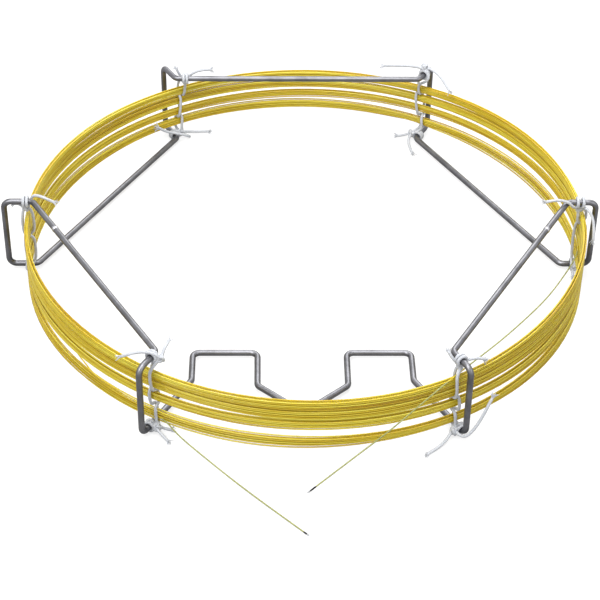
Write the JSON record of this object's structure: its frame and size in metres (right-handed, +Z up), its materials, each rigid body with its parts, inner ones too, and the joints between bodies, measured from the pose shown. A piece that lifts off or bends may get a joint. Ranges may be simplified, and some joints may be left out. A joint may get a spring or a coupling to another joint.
{
  "type": "capillary column coil on wire cage",
  "caption": "Fine capillary wound in a flat ring of stacked bundles, tied with string to a hexagonal bent-wire cage with hanger tabs; both ends sealed.",
  "frame": {"origin": "on the surface the cage stands on, below the cage's axis", "axes": "+Z up along the axis of the coil, +X towards the cage post called right, -Y towards the hanger tabs"},
  "size_m": [0.1898, 0.2099, 0.0303],
  "materials": {
    "cage_wire": "drawn stainless wire, satin, with lengthwise drawing marks",
    "weld": "butt weld, ground, heat tinted at its edges",
    "capillary": "clear amber polyimide coat on fused silica, glossy",
    "charred_coating": "burnt coat beside the sealed end, dark brown",
    "glass": "melted bead of clear fused silica",
    "string": "white twisted glass-fibre string, slight sheen"
  },
  "bodies": {
    "root": {"rear_wire": "cage_wire", "front_wire": "cage_wire", "weld_left": "weld", "weld_right": "weld", "capillary_bundle_1": "capillary", "capillary_bundle_2": "capillary", "capillary_bundle_3": "capillary", "capillary_bundle_4": "capillary", "free_end_a": "capillary", "free_end_b": "capillary", "charred_tip_a": "charred_coating", "charred_tip_b": "charred_coating", "glass_bead_a": "glass", "glass_bead_b": "glass", "tie_right_a": "string", "tie_right_b": "string", "tie_back_right_a": "string", "tie_back_right_b": "string", "tie_back_left_a": "string", "tie_back_left_b": "string", "tie_left_a": "string", "tie_left_b": "string", "tie_front_left_a": "string", "tie_front_left_b": "string", "tie_front_right_a": "string", "tie_front_right_b": "string", "upper_knot_right": "string", "upper_knot_back_right": "string", "upper_knot_back_left": "string", "upper_knot_left": "string", "upper_knot_front_left": "string", "upper_knot_front_right": "string", "lower_knot_right": "string", "lower_knot_back_right": "string", "lower_knot_back_left": "string", "lower_knot_left": "string", "lower_knot_front_left": "string", "lower_knot_front_right": "string"}
  },
  "joints": []
}
